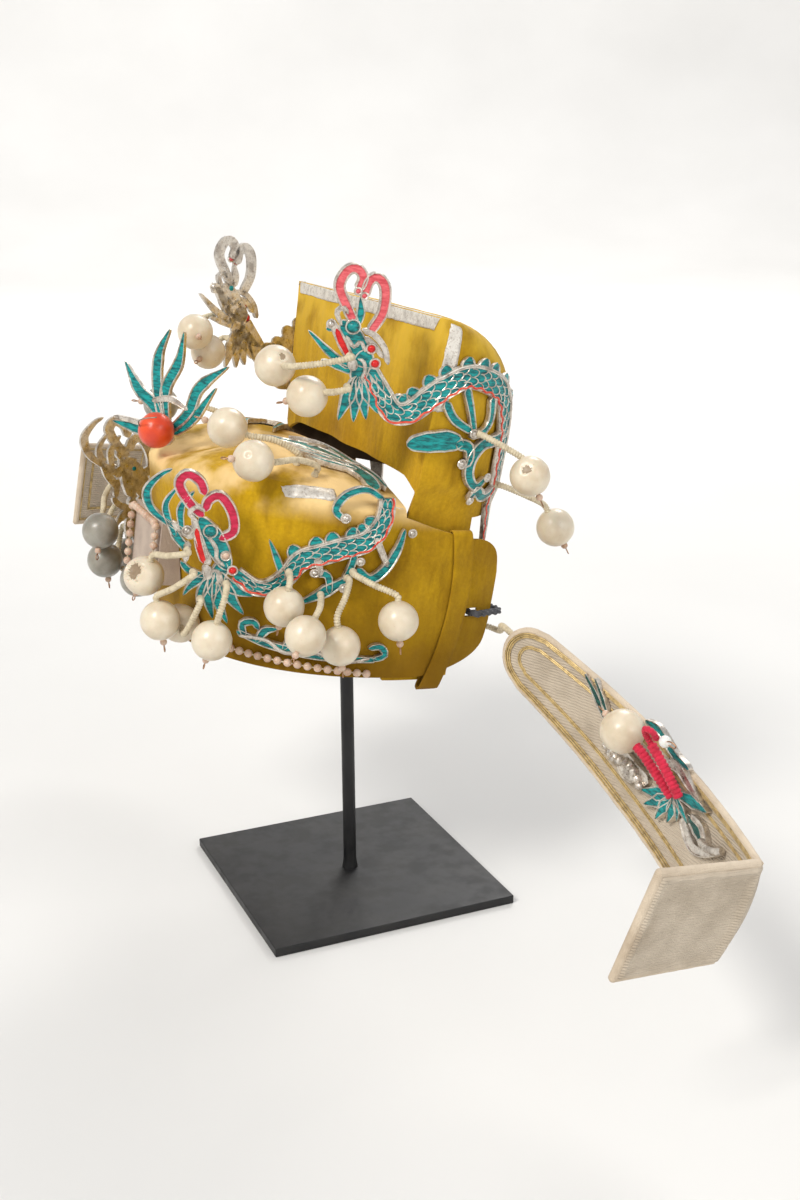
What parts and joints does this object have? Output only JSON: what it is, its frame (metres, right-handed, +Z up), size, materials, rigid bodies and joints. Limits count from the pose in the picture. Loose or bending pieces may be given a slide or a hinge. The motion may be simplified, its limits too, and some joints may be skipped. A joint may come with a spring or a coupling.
{
  "type": "chinese opera headdress on a display stand",
  "caption": "Stage headdress with a domed cap, a taller open-backed crown, relief dragons, pearls on wrapped stems and two folded felt wings, held up by a plain plate-and-post stand.",
  "frame": {"origin": "centre of the underside of the stand's plate", "axes": "+Z up, the headdress faces -Y, the wearer's left is +X"},
  "size_m": [0.6335, 0.2403, 0.3834],
  "materials": {
    "black_steel": "satin black paint",
    "suede": "yellow-ochre suede, faded on the dome",
    "enamelled_metal": "turquoise enamel with raised silver edges",
    "pearl": "warm cream pearl lacquer",
    "fire_red": "orange-red lacquer",
    "felt": "cream felt with gold cord edging",
    "wrapped_cord": "cream thread wound over wire",
    "charcoal_cord": "charcoal cotton cord",
    "brow_cloth": "faded beige cloth over card"
  },
  "bodies": {
    "root": {"stand_base": "black_steel", "stand_post": "black_steel", "front_cap": "suede", "rear_crown": "suede", "loop_strap_left": "suede", "loop_strap_right": "suede", "tie_cord": "charcoal_cord", "forehead_plate": "brow_cloth", "forehead_beads": "pearl", "rim_beads_left": "pearl", "rim_beads_right": "pearl", "flame_leaves": "enamelled_metal", "fire_ball": "fire_red", "front_dragon_left": "enamelled_metal", "front_dragon_right": "enamelled_metal", "front_dragon_tail_left": "enamelled_metal", "front_dragon_tail_right": "enamelled_metal", "rear_dragon_left": "enamelled_metal", "rear_dragon_right": "enamelled_metal", "rim_trim_left": "enamelled_metal", "rim_trim_right": "enamelled_metal", "pearl_brow_high_left": "pearl", "pearl_brow_high_right": "pearl", "pearl_brow_low_left": "pearl", "pearl_brow_low_right": "pearl", "pearl_chin_left": "pearl", "pearl_chin_right": "pearl", "pearl_temple_left": "pearl", "pearl_temple_right": "pearl", "pearl_cheek_left": "pearl", "pearl_cheek_right": "pearl", "pearl_ear_left": "pearl", "pearl_ear_right": "pearl", "pearl_nape_left": "pearl", "pearl_nape_right": "pearl", "pearl_throat_left": "pearl", "pearl_throat_right": "pearl", "pearl_dome_side_left": "pearl", "pearl_dome_side_right": "pearl", "pearl_dome_top_left": "pearl", "pearl_mouth_high_left": "pearl", "pearl_mouth_high_right": "pearl", "pearl_mouth_low_left": "pearl", "pearl_mouth_low_right": "pearl", "pearl_claw_high_left": "pearl", "pearl_claw_high_right": "pearl", "pearl_claw_low_left": "pearl", "pearl_claw_low_right": "pearl", "wing_left": "felt", "wing_right": "felt", "wing_stem_left": "wrapped_cord", "wing_stem_right": "wrapped_cord", "wing_dragon_left": "enamelled_metal", "wing_dragon_right": "enamelled_metal", "wing_pearl_left": "pearl", "wing_pearl_right": "pearl"}
  },
  "joints": []
}
